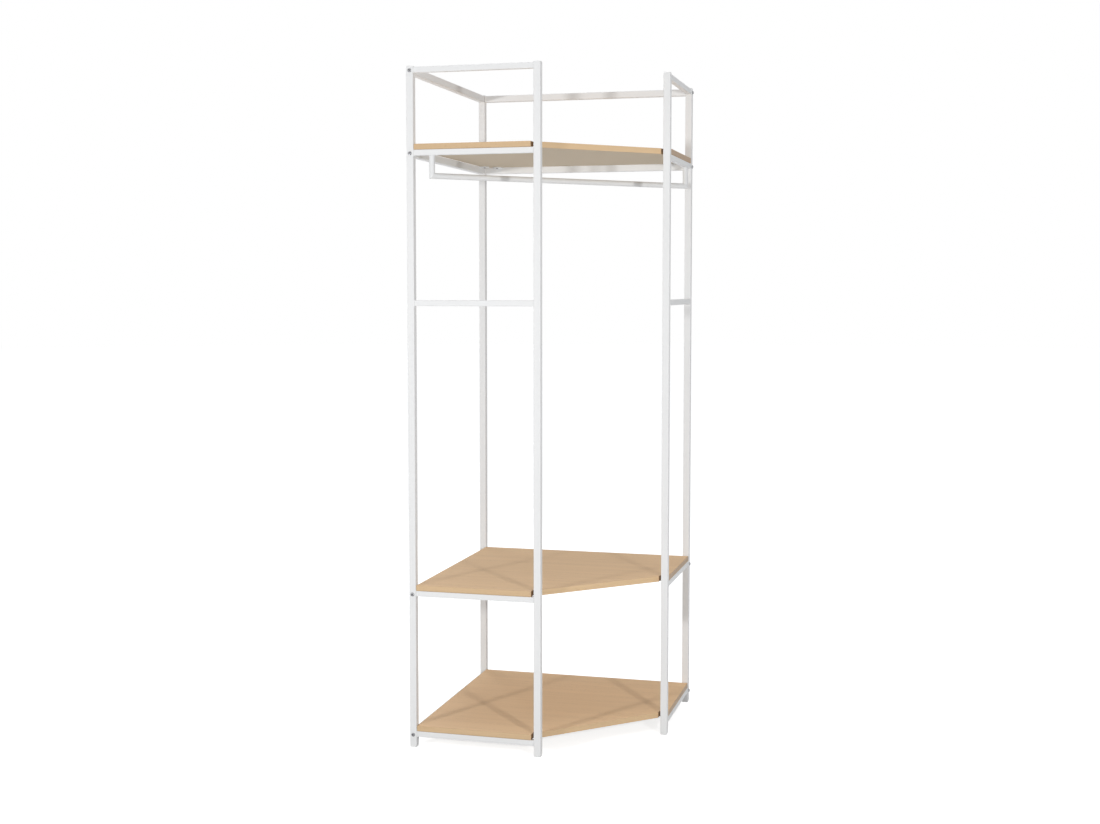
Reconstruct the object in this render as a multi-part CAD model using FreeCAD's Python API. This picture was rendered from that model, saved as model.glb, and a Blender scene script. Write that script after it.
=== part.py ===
import FreeCAD, Part
import math
import os

from FreeCAD import Rotation, Vector

# Corner clothes rack: two welded end frames and a corner post, joined by wall rails, with three
# boards and a round hanging bar. Millimetres, +Z up. The origin is on the floor under the middle
# of the square plan. One wall is at -X, the other at +Y, and the open front faces +X and -Y.

# Overall sizes
overall_height = 1900.0   # floor to the top of the post caps
wall_span = 660.0         # post centre to post centre along each wall
end_span = 362.0          # post centre to post centre across each end frame

# Heights, each to the top of the rails at that level
base_level = 46.0         # floor to the base rails
shoe_space = 400.0        # base rails to lower rails
tray_depth = 225.0        # upper rails to top rails
middle_drop = 413.0       # upper rails down to the middle rails of the end frames
bar_drop = 72.0           # upper rails down to the centre line of the hanging bar

# Tubes
post_side = 20.0          # posts and wall rails
post_round = 1.8          # outer corner radius of that tube
rail_side = 16.0          # rails of the end frames
bar_diameter = 16.0       # hanging bar
tube_wall = 1.2

# Boards
board_thickness = 16.0
edging_thickness = 1.0
wall_gap = 0.8            # board edge to the wall rails, and to the posts at their ends
notch_gap = 8.0           # board to the front posts, inside the two notches
front_setback = 15.0      # open front edge behind the line through the front posts' centres

# Tabs under the boards
tab_width = 28.0
tab_reach = 28.0
tab_thickness = 3.0
tab_inset = 45.0          # tab centre to the face of the post at the end of the rail

# Hanging bar
bar_inset = 61.0          # centre of each drop to the centre of the outer post beside it

# Bolts, the threaded plugs that they enter, and the spigots on the corner post
bolt_diameter = 6.0
bolt_head_diameter = 10.5
bolt_head_height = 3.3
bolt_key_width = 4.0
bolt_key_depth = 1.8
bolt_bite = 14.0          # length of bolt inside a plug
plug_spare = 2.0          # length of plug beyond the end of the bolt
spigot_length = 40.0

# Plastic feet and post caps
foot_height = 7.0
foot_chamfer = 3.0
foot_tail = 12.0          # length of foot inside the post
cap_height = 3.0
cap_chamfer = 1.0
trim_inset = 0.6          # how far feet and caps stay inside the outline of the post

# Clearances
fit_gap = 0.1             # round a plug or spigot inside a tube, and round a bolt in its thread
hole_gap = 0.3            # round a bolt in a plain hole
access_gap = 0.5          # round a bolt head in its access hole
bolt_clear = 1.0          # between the tail of a cap and the topmost bolt

# Sizes that follow from those above
half_span = wall_span / 2
post_half = post_side / 2
rail_half = rail_side / 2
top_level = overall_height - cap_height
upper_level = top_level - tray_depth
lower_level = base_level + shoe_space
middle_level = upper_level - middle_drop
bar_level = upper_level - bar_drop
drop_top = upper_level - rail_side
bar_bore = bar_diameter - 2 * tube_wall
insert_side = post_side - 2 * tube_wall - 2 * fit_gap
trim_side = post_side - 2 * trim_inset
plug_length = bolt_bite + plug_spare
thread_bore = bolt_diameter + 2 * fit_gap
bolt_hole = bolt_diameter + 2 * hole_gap
cap_tail = post_half - bolt_diameter / 2 - bolt_clear

UP = Vector(0, 0, 1)
X = Vector(1, 0, 0)
Y = Vector(0, 1, 0)

LEFT_OUTER = Vector(-half_span, -half_span, 0)
LEFT_FRONT = Vector(-half_span + end_span, -half_span, 0)
RIGHT_FRONT = Vector(half_span, half_span - end_span, 0)
RIGHT_OUTER = Vector(half_span, half_span, 0)
CORNER = Vector(-half_span, half_span, 0)
POSTS = {
    "left_outer": LEFT_OUTER,
    "left_front": LEFT_FRONT,
    "right_front": RIGHT_FRONT,
    "right_outer": RIGHT_OUTER,
    "corner": CORNER,
}
END_FRAMES = {"left": (LEFT_OUTER, LEFT_FRONT), "right": (RIGHT_OUTER, RIGHT_FRONT)}

# The wall rails run from an outer post, where they are bolted, to the corner post, where they
# push onto spigots. The spigots of the two walls point different ways, so they lock each other.
WALLS = {"left": (LEFT_OUTER, CORNER), "back": (RIGHT_OUTER, CORNER)}

SHELF_LEVELS = {"base": base_level, "lower": lower_level, "upper": upper_level}
WALL_LEVELS = {**SHELF_LEVELS, "top": top_level}
END_LEVELS = {**WALL_LEVELS, "middle": middle_level}

# The corners of the hanging bar, on its centre line under the upper rails of the end frames
BAR_CORNERS = {
    "left": LEFT_OUTER + X * bar_inset + UP * bar_level,
    "right": RIGHT_OUTER - Y * bar_inset + UP * bar_level,
}


def at_height(point, z):
    """The point moved to height z."""
    return Vector(point.x, point.y, z)


def way(first, second):
    """The direction from one point to another."""
    return (second - first).normalize()


def aimed(shape, start, direction):
    """A shape modelled along +Z from the origin, turned to a direction and moved to a start."""
    shape.Placement = FreeCAD.Placement(start, Rotation(UP, direction))
    return shape


def rod(diameter, start, direction, length):
    """A solid round rod."""
    return Part.makeCylinder(diameter / 2, length, start, direction)


def prism(corners, height):
    """A flat outline of straight edges, raised to a height."""
    return Part.Face(Part.makePolygon(corners + corners[:1])).extrude(UP * height)


def square_bar(side, length, z=0.0):
    """A solid square bar with sharp corners, standing on the Z axis at height z."""
    return Part.makeBox(side, side, length, Vector(-side / 2, -side / 2, z))


def rounded_bar(side, radius, length):
    """A solid square bar with round corners, standing on the origin."""
    reach = side / 2 - radius
    edges = []
    for angle in (0, 90, 180, 270):
        turn = Rotation(UP, angle)
        flat_start = turn.multVec(Vector(side / 2, -reach, 0))
        flat_end = turn.multVec(Vector(side / 2, reach, 0))
        corner = turn.multVec(Vector(reach, reach, 0))
        edges.append(Part.makeLine(flat_start, flat_end))
        edges.append(Part.makeCircle(radius, corner, UP, angle, angle + 90))
    return Part.Face(Part.Wire(edges)).extrude(UP * length)


def post_tube(length):
    """The tube of the posts and wall rails."""
    bore = square_bar(post_side - 2 * tube_wall, length)
    return rounded_bar(post_side, post_round, length).cut(bore)


def rail_tube(length):
    """The tube of the end-frame rails."""
    return square_bar(rail_side, length).cut(square_bar(rail_side - 2 * tube_wall, length))


def bolt(seat, direction, length):
    """A bolt whose head, with its hexagon socket, bears on a seat."""
    head = rod(bolt_head_diameter, UP * -bolt_head_height, UP, bolt_head_height)
    reach = bolt_key_width / math.sqrt(3)
    corners = [Rotation(UP, 60 * side).multVec(X * reach) for side in range(6)]
    socket = prism([corner - UP * bolt_head_height for corner in corners], bolt_key_depth)
    blank = head.fuse(rod(bolt_diameter, Vector(), UP, length)).removeSplitter()
    return aimed(blank.cut(socket), seat, direction)


def post(name):
    """A post, drilled through both walls where wall rails are bolted to it."""
    place = POSTS[name]
    tube = aimed(post_tube(top_level - foot_height), at_height(place, foot_height), UP)
    for outer, corner in WALLS.values():
        if outer == place:
            inward = way(outer, corner)
            for level in WALL_LEVELS.values():
                start = at_height(place, level - post_half) - inward * post_half
                tube = tube.cut(rod(bolt_hole, start, inward, post_side))
    return tube


def foot(name):
    """A plastic foot with a chamfered sole, and a tail inside the post."""
    pad = square_bar(trim_side, foot_height)
    sole = [edge for edge in pad.Edges if edge.BoundBox.ZMax < foot_height / 2]
    pad = pad.makeChamfer(foot_chamfer, sole)
    tail = square_bar(insert_side, foot_tail, foot_height)
    return aimed(pad.fuse(tail), POSTS[name], UP)


def cap(name):
    """A plastic cap with a chamfered rim, and a tail inside the post above its topmost bolt."""
    lid = square_bar(trim_side, cap_height)
    rim = [edge for edge in lid.Edges if edge.BoundBox.ZMin > cap_height / 2]
    lid = lid.makeChamfer(cap_chamfer, rim)
    tail = square_bar(insert_side, cap_tail, -cap_tail)
    return aimed(lid.fuse(tail), at_height(POSTS[name], top_level), UP)


def laid_between(make_tube, side, first, second, level):
    """A tube that butts against two posts, with its top at a level."""
    tube = make_tube(first.distanceToPoint(second) - post_side)
    direction = way(first, second)
    return aimed(tube, at_height(first, level - side / 2) + direction * post_half, direction)


def end_rail(frame, level):
    """A rail of an end frame."""
    return laid_between(rail_tube, rail_side, *END_FRAMES[frame], level)


def bar_rail(frame):
    """An upper rail of an end frame, drilled for the bolt of a drop, with an access hole above."""
    middle = at_height(BAR_CORNERS[frame], upper_level - rail_half)
    shank_hole = rod(bolt_hole, middle, -UP, rail_half)
    head_hole = rod(bolt_head_diameter + 2 * access_gap, middle, UP, rail_half)
    return end_rail(frame, upper_level).cut([shank_hole, head_hole])


def wall_rail(wall, level):
    """A rail along a wall."""
    return laid_between(post_tube, post_side, *WALLS[wall], level)


def wall_bolts(wall):
    """The bolts through an outer post into the ends of the wall rails."""
    outer, corner = WALLS[wall]
    inward = way(outer, corner)
    seats = [at_height(outer, z - post_half) - inward * post_half for z in WALL_LEVELS.values()]
    return [bolt(seat, inward, post_side + bolt_bite) for seat in seats]


def wall_plugs(wall):
    """The threaded plugs inside the bolted ends of the wall rails."""
    outer, corner = WALLS[wall]
    inward = way(outer, corner)
    block = square_bar(insert_side, plug_length).cut(rod(thread_bore, Vector(), UP, plug_length))
    mouths = [at_height(outer, z - post_half) + inward * post_half for z in WALL_LEVELS.values()]
    return [aimed(block.copy(), mouth, inward) for mouth in mouths]


def wall_spigots(wall):
    """The spigots on the corner post that the other ends of the wall rails push onto."""
    outer, corner = WALLS[wall]
    out = way(corner, outer)
    roots = [at_height(corner, z - post_half) + out * post_half for z in WALL_LEVELS.values()]
    return [aimed(square_bar(insert_side, spigot_length), root, out) for root in roots]


def board_corners(inset, z):
    """The corners of a board in plan, with its edged sides moved in by an inset."""
    left = LEFT_OUTER.x + post_half + wall_gap + inset
    front = LEFT_OUTER.y - rail_half + inset
    right = RIGHT_OUTER.x + rail_half - inset
    back = RIGHT_OUTER.y - post_half - wall_gap - inset
    notch = post_half + notch_gap
    slope = (front_setback + inset) * math.sqrt(2)
    return [
        Vector(left, front, z),
        Vector(LEFT_FRONT.x - notch, front, z),
        Vector(LEFT_FRONT.x - notch, LEFT_FRONT.y + notch, z),
        Vector(LEFT_FRONT.x + notch - slope, LEFT_FRONT.y + notch, z),
        Vector(RIGHT_FRONT.x - notch, RIGHT_FRONT.y - notch + slope, z),
        Vector(RIGHT_FRONT.x - notch, RIGHT_FRONT.y + notch, z),
        Vector(right, RIGHT_FRONT.y + notch, z),
        Vector(right, back, z),
        Vector(left, back, z),
    ]


# The sides of a board that carry edging, by the number of their first corner: the left end, the
# open front, the right end, the back wall and the left wall. The notches stay bare.
EDGED_SIDES = (0, 3, 6, 7, 8)


def board(level):
    """A five-sided board with notches round the two front posts."""
    return prism(board_corners(edging_thickness, level), board_thickness)


def edging(level):
    """The edging strips of a board, mitred where two of them meet."""
    outer = board_corners(0.0, level)
    inner = board_corners(edging_thickness, level)
    strips = []
    for first in EDGED_SIDES:
        second = (first + 1) % len(outer)
        corners = [outer[first], outer[second], inner[second], inner[first]]
        strips.append(prism(corners, board_thickness))
    return strips


def tabs(level):
    """The round-ended tabs on the inner faces of the wall rails, which carry a board there."""
    face = half_span - post_half
    along = face - tab_inset
    z = level - tab_thickness
    roots = [(Vector(-face, y, z), X) for y in (-along, along)]
    roots += [(Vector(x, face, z), -Y) for x in (-along, along)]
    shapes = []
    for root, inward in roots:
        across = UP.cross(inward) * (tab_width / 2)
        centre = root + inward * (tab_reach - tab_width / 2)
        outline = [
            Part.makeLine(root - across, centre - across),
            Part.Arc(centre - across, root + inward * tab_reach, centre + across).toShape(),
            Part.makeLine(centre + across, root + across),
            Part.makeLine(root + across, root - across),
        ]
        shapes.append(Part.Face(Part.Wire(outline)).extrude(UP * tab_thickness))
    return shapes


def bar_tube(start, direction, length):
    """A length of the hanging bar's round tube."""
    return rod(bar_diameter, start, direction, length).cut(rod(bar_bore, start, direction, length))


def mitre_block(corner, leg, other):
    """What is cut from a leg of the hanging bar beyond the mitre where it meets the other leg."""
    size = 2 * bar_diameter
    block = Part.makeBox(2 * size, 2 * size, size, Vector(-size, -size, -size))
    return aimed(block, corner, (leg - other).normalize())


def hanging_bar():
    """The level tube of the hanging bar, mitred at both ends."""
    left, right = BAR_CORNERS.values()
    run = way(left, right)
    tube = bar_tube(left - run * bar_diameter, run, left.distanceToPoint(right) + 2 * bar_diameter)
    return tube.cut([mitre_block(left, run, UP), mitre_block(right, -run, UP)])


def bar_drop_tube(corner, other):
    """An upright tube from a corner of the hanging bar to the underside of an upper rail."""
    start = corner - UP * bar_diameter
    tube = bar_tube(start, UP, drop_top - start.z)
    return tube.cut(mitre_block(corner, UP, way(corner, other)))


def bar_plug(corner):
    """The threaded plug inside the top of a drop."""
    mouth = at_height(corner, drop_top)
    plug = rod(bar_bore - 2 * fit_gap, mouth, -UP, plug_length)
    return plug.cut(rod(thread_bore, mouth, -UP, plug_length))


def bar_bolt(corner):
    """The bolt inside an upper rail, down through its floor into the plug of a drop."""
    return bolt(at_height(corner, drop_top + tube_wall), -UP, tube_wall + bolt_bite)


def frame_nodes():
    """The posts with their feet and caps, and the welded rails of the end frames."""
    nodes = {}
    for name in POSTS:
        nodes[f"post_{name}"] = [post(name)]
        nodes[f"foot_{name}"] = [foot(name)]
        nodes[f"cap_{name}"] = [cap(name)]
    for frame in END_FRAMES:
        for name, level in END_LEVELS.items():
            nodes[f"{frame}_end_rail_{name}"] = [end_rail(frame, level)]
        nodes[f"{frame}_end_rail_upper"] = [bar_rail(frame)]
    return nodes


def wall_nodes():
    """The wall rails with their bolts, plugs and spigots."""
    nodes = {}
    for wall in WALLS:
        for name, level in WALL_LEVELS.items():
            nodes[f"{wall}_wall_rail_{name}"] = [wall_rail(wall, level)]
        nodes[f"{wall}_wall_bolts"] = wall_bolts(wall)
        nodes[f"{wall}_wall_plugs"] = wall_plugs(wall)
        nodes[f"{wall}_wall_spigots"] = wall_spigots(wall)
    return nodes


def shelf_nodes():
    """The boards with their edging, and the tabs that carry them."""
    nodes = {}
    for name, level in SHELF_LEVELS.items():
        nodes[f"shelf_board_{name}"] = [board(level)]
        nodes[f"shelf_edging_{name}"] = edging(level)
        nodes[f"shelf_tabs_{name}"] = tabs(level)
    return nodes


def bar_nodes():
    """The hanging bar with its two drops, and their plugs and bolts."""
    left, right = BAR_CORNERS.values()
    return {
        "hanging_bar": [hanging_bar()],
        "hanging_bar_drop_left": [bar_drop_tube(left, right)],
        "hanging_bar_drop_right": [bar_drop_tube(right, left)],
        "hanging_bar_plugs": [bar_plug(left), bar_plug(right)],
        "hanging_bar_bolts": [bar_bolt(left), bar_bolt(right)],
    }


def main():
    """Build every piece, and write each node to its own file."""
    os.makedirs("parts", exist_ok=True)
    nodes = {**frame_nodes(), **wall_nodes(), **shelf_nodes(), **bar_nodes()}
    for name, shapes in nodes.items():
        solids = [solid for shape in shapes for solid in shape.Solids]
        whole = solids[0] if len(solids) == 1 else Part.makeCompound(solids)
        whole.exportStep(f"parts/{name}.step")
    print(len(nodes), "nodes")


main()
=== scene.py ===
"""Visual model of a corner clothes rack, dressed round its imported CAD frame. Metres, +Z up."""
import logging
import math
from collections.abc import Callable, Iterable, Sequence
from dataclasses import dataclass, field
from enum import Enum
from typing import Any, Union

import bmesh
import bpy
from mathutils import Matrix, Vector


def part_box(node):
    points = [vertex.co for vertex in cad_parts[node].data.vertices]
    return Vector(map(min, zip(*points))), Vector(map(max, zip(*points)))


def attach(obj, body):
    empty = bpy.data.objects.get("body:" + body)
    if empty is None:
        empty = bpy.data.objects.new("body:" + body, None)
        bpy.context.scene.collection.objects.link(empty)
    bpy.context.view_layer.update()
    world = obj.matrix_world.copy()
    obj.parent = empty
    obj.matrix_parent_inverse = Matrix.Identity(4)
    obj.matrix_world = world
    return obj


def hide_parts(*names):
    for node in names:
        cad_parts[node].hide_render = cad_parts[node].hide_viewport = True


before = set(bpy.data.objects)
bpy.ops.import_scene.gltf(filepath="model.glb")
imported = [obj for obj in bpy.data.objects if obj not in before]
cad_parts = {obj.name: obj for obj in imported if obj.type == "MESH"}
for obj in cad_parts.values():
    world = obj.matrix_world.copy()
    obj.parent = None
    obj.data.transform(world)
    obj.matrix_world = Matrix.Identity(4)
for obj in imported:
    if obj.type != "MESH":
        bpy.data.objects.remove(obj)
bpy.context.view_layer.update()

LOG = logging.getLogger("corner_rack")
MM = 0.001
QUARTER = math.pi / 2
TURN = 2 * math.pi
X_AXIS = Vector((1, 0, 0))
Y_AXIS = Vector((0, 1, 0))
UP = Vector((0, 0, 1))
BODY = "root"
# Name of the vertex layer that marks where painted shade goes
PAINTED_SHADE = "painted_shade"
ROUND_STEPS = 48
BEAD_SHOULDER = 0.42
TINY = 1e-6

Colour = tuple[float, float, float]
Scale = tuple[float, float, float]
Spot = tuple[float, float, float]
Pair = tuple[float, float]
Cut = Callable[[float, float], float]
Row = list[bmesh.types.BMVert]
Term = Union["Wire", float, Sequence[float]]

WHITE: Colour = (1.0, 1.0, 1.0)


class Slot(Enum):
    """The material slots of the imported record."""

    COAT = "white_powder_coat"
    PLASTIC = "white_plastic"
    BOARD = "oak_board"
    EDGING = "oak_edging"
    ZINC = "zinc_bolts"
    PLUG = "threaded_plugs"


class Ends(Enum):
    """How a loft of rings is closed."""

    LIDS = "a lid on the first and the last ring"
    LOOP = "the last ring joined to the first"


class Wire:
    """A shader socket that Python operators work on, each of them adding the node it needs."""

    def __init__(self, recipe: "Recipe", socket: bpy.types.NodeSocket) -> None:
        """Keep the socket with the recipe that it belongs to."""
        self.recipe = recipe
        self.socket = socket

    def _combine(self, operation: str, first: Term, second: Term) -> "Wire":
        """Join two terms by a Math, Vector Math or Mix node, whichever suits their kind.

        Args:
            operation: The name of the operation, which the three nodes share.
            first: The term on the left.
            second: The term on the right.

        Returns:
            The result.
        """
        kinds = {term.socket.type for term in (first, second) if isinstance(term, Wire)}
        if "RGBA" in kinds:
            settings = {"data_type": "RGBA", "blend_type": operation}
            sockets = {"Factor_Float": 1.0, "A_Color": first, "B_Color": second}
            return self.recipe.add("ShaderNodeMix", settings, sockets, "Result_Color")
        node = "ShaderNodeVectorMath" if "VECTOR" in kinds else "ShaderNodeMath"
        return self.recipe.add(node, {"operation": operation}, {0: first, 1: second})

    def __add__(self, other: Term) -> "Wire":
        """Self plus other."""
        return self._combine("ADD", self, other)

    def __radd__(self, other: Term) -> "Wire":
        """Other plus self."""
        return self._combine("ADD", other, self)

    def __sub__(self, other: Term) -> "Wire":
        """Self minus other."""
        return self._combine("SUBTRACT", self, other)

    def __rsub__(self, other: Term) -> "Wire":
        """Other minus self."""
        return self._combine("SUBTRACT", other, self)

    def __mul__(self, other: Term) -> "Wire":
        """Self times other."""
        return self._combine("MULTIPLY", self, other)

    def __rmul__(self, other: Term) -> "Wire":
        """Other times self."""
        return self._combine("MULTIPLY", other, self)

    def __gt__(self, other: Term) -> "Wire":
        """One where self is above other, else zero."""
        return self._combine("GREATER_THAN", self, other)

    def __lt__(self, other: Term) -> "Wire":
        """One where self is below other, else zero."""
        return self._combine("LESS_THAN", self, other)

    def at_least(self, other: Term) -> "Wire":
        """The greater of self and other."""
        return self._combine("MAXIMUM", self, other)

    def ramp(self, low: float, high: float) -> "Wire":
        """Zero at low, one at high, smooth between and level beyond."""
        sockets = {"Value": self, "From Min": low, "From Max": high}
        return self.recipe.add("ShaderNodeMapRange", {"interpolation_type": "SMOOTHSTEP"}, sockets)

    def swing(self, amount: float, middle: float = 0.5) -> "Wire":
        """Self measured from a middle value, times an amount."""
        return amount * (self - middle)

    def along(self, axis: str) -> "Wire":
        """One of the X, Y and Z parts of a vector."""
        return self.recipe.add("ShaderNodeSeparateXYZ", {}, {"Vector": self}, axis)


class Recipe:
    """A node tree, with one method that adds any node and a few short cuts to it."""

    def __init__(self, tree: bpy.types.NodeTree) -> None:
        """Start from an empty tree."""
        tree.nodes.clear()
        self.tree = tree

    @staticmethod
    def _socket(sockets: Any, key: int | str) -> bpy.types.NodeSocket:
        """The socket with a number, an identifier or a name."""
        named = None if isinstance(key, int) else next((s for s in sockets if s.identifier == key), None)
        return named or sockets[key]

    def _feed(self, socket: bpy.types.NodeSocket, term: Term) -> None:
        """Link a wire to a socket, or set a number, a vector or a colour on it.

        Args:
            socket: The socket.
            term: The wire or the value.
        """
        if isinstance(term, Wire):
            self.tree.links.new(term.socket, socket)
            return
        if socket.type in ("VECTOR", "RGBA"):
            parts = list(term) if isinstance(term, Sequence) else [term] * 3
            term = parts + [1.0] * (len(socket.default_value) - len(parts))
        socket.default_value = term

    def add(self, kind: str, settings: dict[str, Any] | None = None,
            sockets: dict[int | str, Term] | None = None, output: int | str = 0) -> Wire:
        """Add a node.

        Args:
            kind: The node's type.
            settings: Its settings, which are set first.
            sockets: The values or links of its sockets, by number, identifier or name.
            output: The output to return.

        Returns:
            The wire of that output.
        """
        node = self.tree.nodes.new(kind)
        for name, value in (settings or {}).items():
            setattr(node, name, value)
        for key, term in (sockets or {}).items():
            self._feed(self._socket(node.inputs, key), term)
        return Wire(self, self._socket(node.outputs, output))

    def place(self) -> Wire:
        """The point of the surface in the rack's own frame, in metres."""
        return self.add("ShaderNodeTexCoord", output="Object")

    def noise(self, where: Wire, scale: Term, detail: float = 2.0, roughness: float = 0.5) -> Wire:
        """Noise between about 0 and 1, with a scale for all ways or one for each."""
        sockets = {"Vector": where * scale, "Scale": 1.0, "Detail": detail, "Roughness": roughness}
        return self.add("ShaderNodeTexNoise", {}, sockets, "Fac")

    def blend(self, factor: Term, low: Term, high: Term) -> Wire:
        """A colour between two others."""
        sockets = {"Factor_Float": factor, "A_Color": low, "B_Color": high}
        return self.add("ShaderNodeMix", {"data_type": "RGBA"}, sockets, "Result_Color")

    def bump(self, height: Wire, depth: float) -> Wire:
        """A normal from a height between 0 and 1 that stands for a depth in metres."""
        return self.add("ShaderNodeBump", {}, {"Height": height, "Distance": depth, "Strength": 1.0})

    def shader(self, sockets: dict[int | str, Term]) -> Wire:
        """A Principled shader with these sockets set or linked."""
        return self.add("ShaderNodeBsdfPrincipled", {}, sockets)

    def show(self, surface: Wire, output: str = "ShaderNodeOutputMaterial") -> None:
        """Send a shader to the output of the tree."""
        node = self.tree.nodes.new(output)
        self.tree.links.new(surface.socket, node.inputs["Surface"])


@dataclass(frozen=True)
class Finish:
    """A finish of the rack: a slot of the record and a base colour."""

    slot: Slot
    colour: Colour

    def shade(self, recipe: Recipe) -> Wire:
        """The shader of the finish."""
        raise NotImplementedError

    def material(self) -> bpy.types.Material:
        """A new material with this finish.

        Returns:
            The material.
        """
        made = bpy.data.materials.new(self.slot.value)
        made.use_nodes = True
        made.diffuse_color = (*self.colour, 1.0)
        recipe = Recipe(made.node_tree)
        recipe.show(self.shade(recipe))
        return made


@dataclass(frozen=True)
class PowderCoat(Finish):
    """Satin white powder coat, with the soft dimples of the baked film."""

    thin_colour: Colour = (0.785, 0.785, 0.78)
    roughness: float = 0.45
    gloss: float = 0.2
    cloud_scale: float = 5.0
    cloud_dulling: float = 0.12
    dimple: float = 1.3 * MM
    dimple_depth: float = 0.018 * MM
    dimple_dulling: float = 0.10
    grit: float = 0.25
    grit_fineness: float = 6.0

    def shade(self, recipe: Recipe) -> Wire:
        """Even white with faint clouds, dimples in the normal and a slightly uneven gloss.

        Args:
            recipe: The tree to add to.

        Returns:
            The shader.
        """
        place = recipe.place()
        cloud = recipe.noise(place, self.cloud_scale, detail=3.0)
        dimples = recipe.noise(place, 1 / self.dimple)
        grit = recipe.noise(place, self.grit_fineness / self.dimple, detail=1.0)
        dulling = dimples.swing(self.dimple_dulling) + cloud.swing(self.cloud_dulling)
        return recipe.shader({
            "Base Color": recipe.blend(cloud, self.thin_colour, self.colour),
            "Roughness": self.roughness + dulling,
            "Normal": recipe.bump(dimples + self.grit * grit, self.dimple_depth),
            "Specular IOR Level": self.gloss,
        })


@dataclass(frozen=True)
class MouldedPlastic(Finish):
    """White moulded plastic with a fine spark-eroded skin."""

    scuffed: Colour = (0.74, 0.74, 0.73)
    roughness: float = 0.5
    gloss: float = 0.2
    patch_scale: float = 90.0
    patch_edges: Pair = (0.55, 0.8)
    texture: float = 0.45 * MM
    texture_depth: float = 0.012 * MM
    texture_dulling: float = 0.16

    def shade(self, recipe: Recipe) -> Wire:
        """Matt white, a little greyer in patches, with a fine even texture.

        Args:
            recipe: The tree to add to.

        Returns:
            The shader.
        """
        place = recipe.place()
        patch = recipe.noise(place, self.patch_scale, detail=3.0).ramp(*self.patch_edges)
        skin = recipe.noise(place, 1 / self.texture, roughness=0.7)
        return recipe.shader({
            "Base Color": recipe.blend(patch, self.colour, self.scuffed),
            "Roughness": self.roughness + skin.swing(self.texture_dulling),
            "Normal": recipe.bump(skin, self.texture_depth),
            "Specular IOR Level": self.gloss,
        })


@dataclass(frozen=True)
class Grain:
    """One layer of the figure of wood: noise, the levels where it shows, and its share."""

    scale: Scale
    edges: Pair
    share: float
    detail: float = 2.0
    roughness: float = 0.5

    def noise(self, recipe: Recipe, place: Wire) -> Wire:
        """The bare noise of the layer."""
        return recipe.noise(place, self.scale, self.detail, self.roughness)

    def tone(self, noise: Wire) -> Wire:
        """How much the layer adds to the tone."""
        return self.share * noise.ramp(*self.edges)


@dataclass(frozen=True)
class OakLook(Finish):
    """Printed oak: bands of early and late wood along the first axis, with fibres and pores."""

    late_wood: Colour = (0.82, 0.56, 0.33)
    pore: Colour = (0.44, 0.29, 0.17)
    roughness: float = 0.60
    gloss: float = 0.15
    sway: float = 0.05
    sway_scale: Scale = (1.6, 5.0, 5.0)
    bands: Grain = Grain((1.5, 42.0, 42.0), (0.3, 0.72), share=0.5, detail=4.0, roughness=0.55)
    streaks: Grain = Grain((5.0, 260.0, 260.0), (0.25, 0.75), share=0.3)
    fibres: Grain = Grain((22.0, 1300.0, 1300.0), (0.4, 0.75), share=0.16, roughness=0.6)
    pores: Grain = Grain((75.0, 1500.0, 1500.0), (0.62, 0.72), share=0.5, detail=1.0)
    porous_bands: Pair = (0.35, 0.6)
    pore_depth: float = 0.05 * MM
    pore_fall: float = 0.9
    pore_dulling: float = 0.12
    fibre_rise: float = 0.35
    fibre_dulling: float = 0.10
    cloud_scale: Scale = (2.2, 6.0, 6.0)
    cloud_tone: float = 0.1

    def figure(self, recipe: Recipe, place: Wire) -> tuple[Wire, Wire, Wire]:
        """The figure of the wood.

        Args:
            recipe: The tree to add to.
            place: The point of the surface.

        Returns:
            The colour, the height and the roughness of the wood.
        """
        drift = recipe.noise(place, self.sway_scale).swing(self.sway)
        bent = place + recipe.add("ShaderNodeCombineXYZ", {}, {"Y": drift, "Z": drift})
        layers = (self.bands, self.streaks, self.fibres, self.pores)
        bands, streaks, fibres, specks = (layer.noise(recipe, bent) for layer in layers)
        pores = specks.ramp(*self.pores.edges) * bands.ramp(*self.porous_bands)
        tone = self.bands.tone(bands) + self.streaks.tone(streaks)
        wood = recipe.blend(tone, self.colour, self.late_wood)
        worn = recipe.blend(self.fibres.tone(fibres), wood, self.late_wood)
        cloud = recipe.noise(place, self.cloud_scale).swing(self.cloud_tone)
        shown = recipe.blend(self.pores.share * pores, worn, self.pore) * (1.0 + cloud)
        height = self.fibre_rise * fibres - self.pore_fall * pores
        dulling = fibres.swing(self.fibre_dulling) + self.pore_dulling * pores
        return shown, height, self.roughness + dulling


@dataclass(frozen=True)
class OakEdging(OakLook):
    """Edging with the oak look, its figure along the strip."""

    # Painted shade on the strip that faces right, and painted light on the slanted strip
    end_painted_shade: Colour = (0.82, 0.86, 1.02)
    end_facing: float = 0.9
    slant_painted_light: Colour = (1.14, 1.14, 1.13)
    slant_facing: float = -0.3

    def shade(self, recipe: Recipe) -> Wire:
        """The wood along each strip, with painted shade on the right end of the rack and painted light on
        the slant.

        Args:
            recipe: The tree to add to.

        Returns:
            The shader.
        """
        place = recipe.place()
        facing = recipe.add("ShaderNodeNewGeometry", output="True Normal")
        x, y, z = (place.along(axis) for axis in "XYZ")
        out_x, out_y = facing.along("X"), facing.along("Y")
        strip = recipe.add("ShaderNodeCombineXYZ", {}, {
            "X": y * out_x - x * out_y, "Y": z, "Z": x * out_x + y * out_y})
        shown, height, roughness = self.figure(recipe, strip)
        # Painted light and shade, chosen by the way each strip faces
        facing_light = recipe.blend(out_x * out_y < self.slant_facing, WHITE, self.slant_painted_light)
        facing_light = recipe.blend(out_x > self.end_facing, facing_light, self.end_painted_shade)
        return recipe.shader({
            "Base Color": shown * facing_light,
            "Roughness": roughness,
            "Specular IOR Level": self.gloss,
            "Normal": recipe.bump(height, self.pore_depth),
        })


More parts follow.
